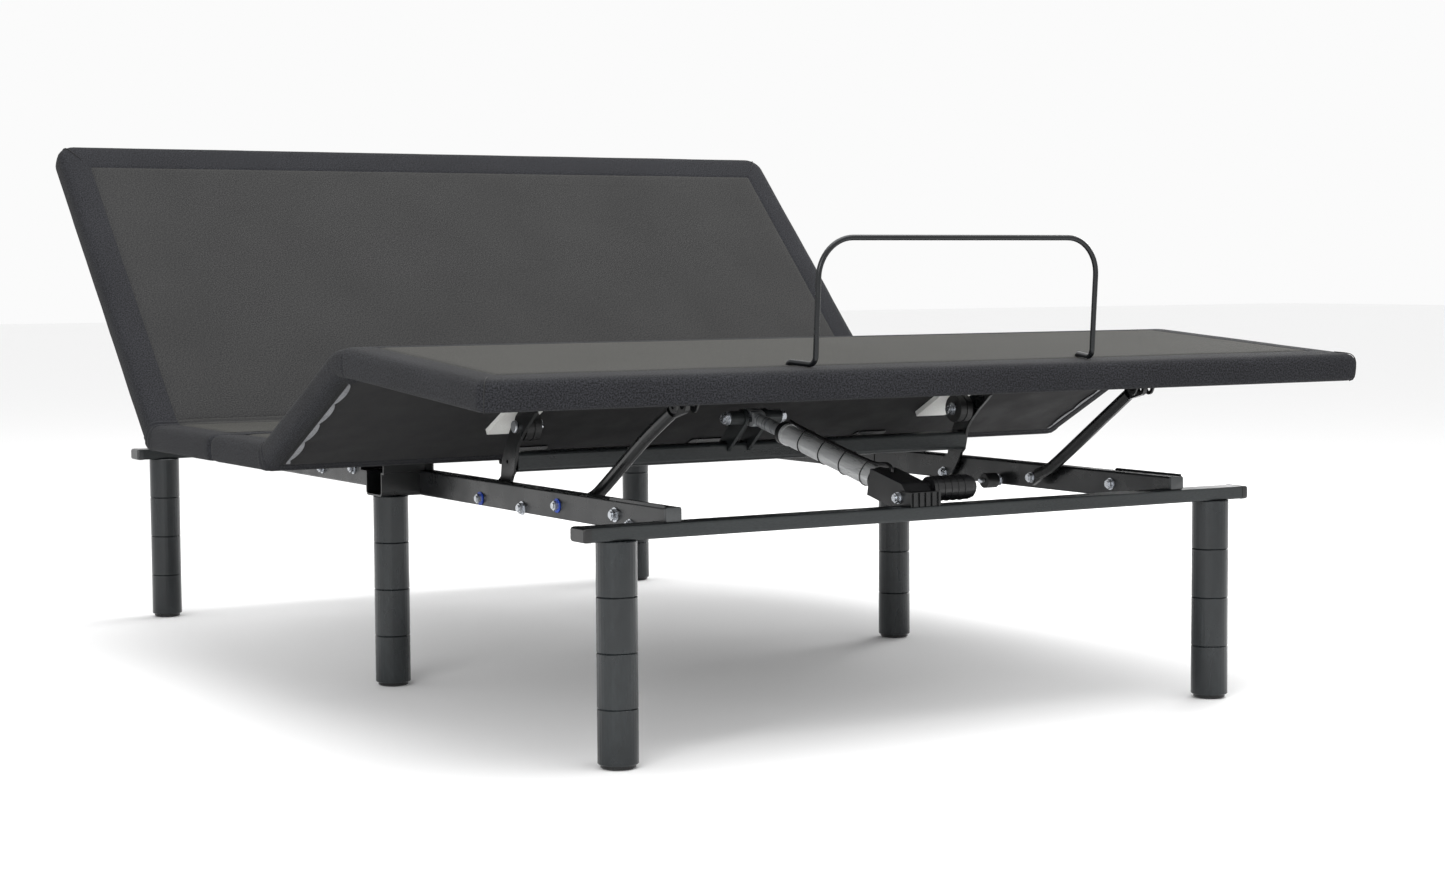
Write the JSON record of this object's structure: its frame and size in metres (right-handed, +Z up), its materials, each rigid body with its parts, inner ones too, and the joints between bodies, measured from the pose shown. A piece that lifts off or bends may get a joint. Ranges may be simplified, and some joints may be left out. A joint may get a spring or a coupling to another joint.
{
  "type": "adjustable bed base",
  "caption": "Motorised adjustable bed base with padded folding panels on a steel frame, shown with head and legs raised.",
  "frame": {"origin": "centre of the bounding box on the floor, in the posed position", "axes": "+Y towards the head end, +Z up, +X to the right when looking from the foot end"},
  "size_m": [1.5356, 1.95, 0.9088],
  "materials": {
    "deck_fabric": "matt",
    "deck_board": "matt",
    "frame_coat": "satin",
    "leg_slate": "satin",
    "roller_black": "matt",
    "wear_white": "satin",
    "drive_plastic": "satin",
    "tube_silver": "satin",
    "rod_grey": "satin",
    "cable_black": "matt"
  },
  "bodies": {
    "frame": {"seat_pad_head": "deck_fabric", "seat_board_head": "deck_board", "seat_pad_foot": "deck_fabric", "seat_board_foot": "deck_board", "foot_crossbar": "frame_coat", "head_crossbar": "frame_coat", "mid_outrigger_right": "frame_coat", "mid_outrigger_left": "frame_coat", "foot_rail_right": "frame_coat", "foot_rail_left": "frame_coat", "head_rail_right": "frame_coat", "head_rail_left": "frame_coat", "seat_support_right": "frame_coat", "seat_support_left": "frame_coat", "seat_tab_right": "frame_coat", "seat_tab_left": "frame_coat", "leg_foot_left": "leg_slate", "leg_foot_right": "leg_slate", "leg_mid_left": "leg_slate", "leg_mid_right": "leg_slate", "leg_head_left": "leg_slate", "leg_head_right": "leg_slate", "leg_actuator_bracket": "frame_coat", "head_actuator_bracket": "frame_coat", "control_box": "drive_plastic"},
    "head_panel": {"head_pad": "deck_fabric", "head_board": "deck_board", "head_wear_plate_right": "wear_white", "head_wear_plate_left": "wear_white"},
    "thigh_panel": {"thigh_pad": "deck_fabric", "thigh_board": "deck_board", "leg_wear_plate_right": "wear_white", "leg_wear_plate_left": "wear_white"},
    "foot_panel": {"foot_pad": "deck_fabric", "foot_board": "deck_board", "retainer_bar": "leg_slate", "link_bracket_right": "frame_coat", "link_bracket_left": "frame_coat"},
    "link_right": {"link_arm_right": "frame_coat"},
    "link_left": {"link_arm_left": "frame_coat"},
    "leg_lift": {"leg_torque_tube": "frame_coat", "leg_lift_arm_right": "frame_coat", "leg_lift_arm_left": "frame_coat"},
    "leg_roller_r": {"leg_roller_right": "roller_black"},
    "leg_roller_l": {"leg_roller_left": "roller_black"},
    "leg_drive": {"leg_actuator_gearbox": "drive_plastic", "leg_actuator_motor": "drive_plastic", "leg_actuator_tube": "tube_silver", "leg_actuator_cable": "cable_black"},
    "leg_rod": {"leg_actuator_rod": "rod_grey"},
    "head_lift": {"head_torque_tube": "frame_coat", "head_lift_arm_right": "frame_coat", "head_lift_arm_left": "frame_coat"},
    "head_roller_r": {"head_roller_right": "roller_black"},
    "head_roller_l": {"head_roller_left": "roller_black"},
    "head_drive": {"head_actuator_gearbox": "drive_plastic", "head_actuator_motor": "drive_plastic", "head_actuator_tube": "tube_silver"},
    "head_rod": {"head_actuator_rod": "rod_grey"}
  },
  "joints": [
    {"name": "head_hinge", "type": "hinge", "parent": "frame", "child": "head_panel", "pos_m": [0, 0.33626, 0.3715], "axis": [1, 0, 0], "range_deg": [-45, 15]},
    {"name": "thigh_hinge", "type": "hinge", "parent": "frame", "child": "thigh_panel", "pos_m": [0, -0.20694, 0.3715], "axis": [-1, 0, 0], "range_deg": [-27.5, 2.5]},
    {"name": "knee_hinge", "type": "hinge", "parent": "thigh_panel", "child": "foot_panel", "pos_m": [0, -0.50265, 0.5254], "axis": [1, 0, 0], "range_deg": [-31.7, 3.06]},
    {"name": "link_pivot_right", "type": "hinge", "parent": "frame", "child": "link_right", "pos_m": [0, -0.59164, 0.3305], "axis": [-1, 0, 0], "range_deg": [-24.68, 2.42]},
    {"name": "link_pivot_left", "type": "hinge", "parent": "frame", "child": "link_left", "pos_m": [0, -0.59164, 0.3305], "axis": [-1, 0, 0], "range_deg": [-24.68, 2.42]},
    {"name": "leg_lift_pivot", "type": "hinge", "parent": "frame", "child": "leg_lift", "pos_m": [0, -0.33365, 0.322], "axis": [-1, 0, 0], "range_deg": [-52.45, 4.95]},
    {"name": "leg_roller_axle_right", "type": "hinge", "parent": "leg_lift", "child": "leg_roller_r", "pos_m": [0, -0.39944, 0.43575], "axis": [-1, 0, 0], "range_deg": [-16.2, 176.2]},
    {"name": "leg_roller_axle_left", "type": "hinge", "parent": "leg_lift", "child": "leg_roller_l", "pos_m": [0, -0.39944, 0.43575], "axis": [-1, 0, 0], "range_deg": [-16.2, 176.2]},
    {"name": "leg_actuator_pivot", "type": "hinge", "parent": "frame", "child": "leg_drive", "pos_m": [0, -0.88165, 0.342], "axis": [-1, 0, 0], "range_deg": [-1.65, 16.15]},
    {"name": "leg_actuator_stroke", "type": "slide", "parent": "leg_drive", "child": "leg_rod", "axis": [0, 0.9771, 0.2127], "range_m": [-0.06866, 0.0067]},
    {"name": "head_lift_pivot", "type": "hinge", "parent": "frame", "child": "head_lift", "pos_m": [0, 0.30435, 0.33], "axis": [1, 0, 0], "range_deg": [-37.1, 12.5]},
    {"name": "head_roller_axle_right", "type": "hinge", "parent": "head_lift", "child": "head_roller_r", "pos_m": [0, 0.50506, 0.4952], "axis": [1, 0, 0], "range_deg": [-11.15, 33.05]},
    {"name": "head_roller_axle_left", "type": "hinge", "parent": "head_lift", "child": "head_roller_l", "pos_m": [0, 0.50506, 0.4952], "axis": [1, 0, 0], "range_deg": [-11.15, 33.05]},
    {"name": "head_actuator_pivot", "type": "hinge", "parent": "frame", "child": "head_drive", "pos_m": [0, 0.93256, 0.342], "axis": [1, 0, 0], "range_deg": [-2.6, 7.4]},
    {"name": "head_actuator_stroke", "type": "slide", "parent": "head_drive", "child": "head_rod", "axis": [0, -0.9943, 0.1066], "range_m": [-0.03199, 0.011]}
  ],
  "couplings": [
    {"joint": "knee_hinge", "follows": "thigh_hinge", "ratio": 1.1455},
    {"joint": "link_pivot_right", "follows": "thigh_hinge", "ratio": 0.89},
    {"joint": "link_pivot_left", "follows": "thigh_hinge", "ratio": 0.89},
    {"joint": "leg_lift_pivot", "follows": "thigh_hinge", "ratio": 1.9},
    {"joint": "leg_roller_axle_right", "follows": "thigh_hinge", "ratio": -6.4},
    {"joint": "leg_roller_axle_left", "follows": "thigh_hinge", "ratio": -6.4},
    {"joint": "leg_actuator_pivot", "follows": "thigh_hinge", "ratio": -0.58},
    {"joint": "leg_actuator_stroke", "follows": "thigh_hinge", "m_per_rad": 0.142},
    {"joint": "head_lift_pivot", "follows": "head_hinge", "ratio": 0.82},
    {"joint": "head_roller_axle_right", "follows": "head_hinge", "ratio": -0.73},
    {"joint": "head_roller_axle_left", "follows": "head_hinge", "ratio": -0.73},
    {"joint": "head_actuator_pivot", "follows": "head_hinge", "ratio": -0.16},
    {"joint": "head_actuator_stroke", "follows": "head_hinge", "m_per_rad": 0.0401}
  ]
}
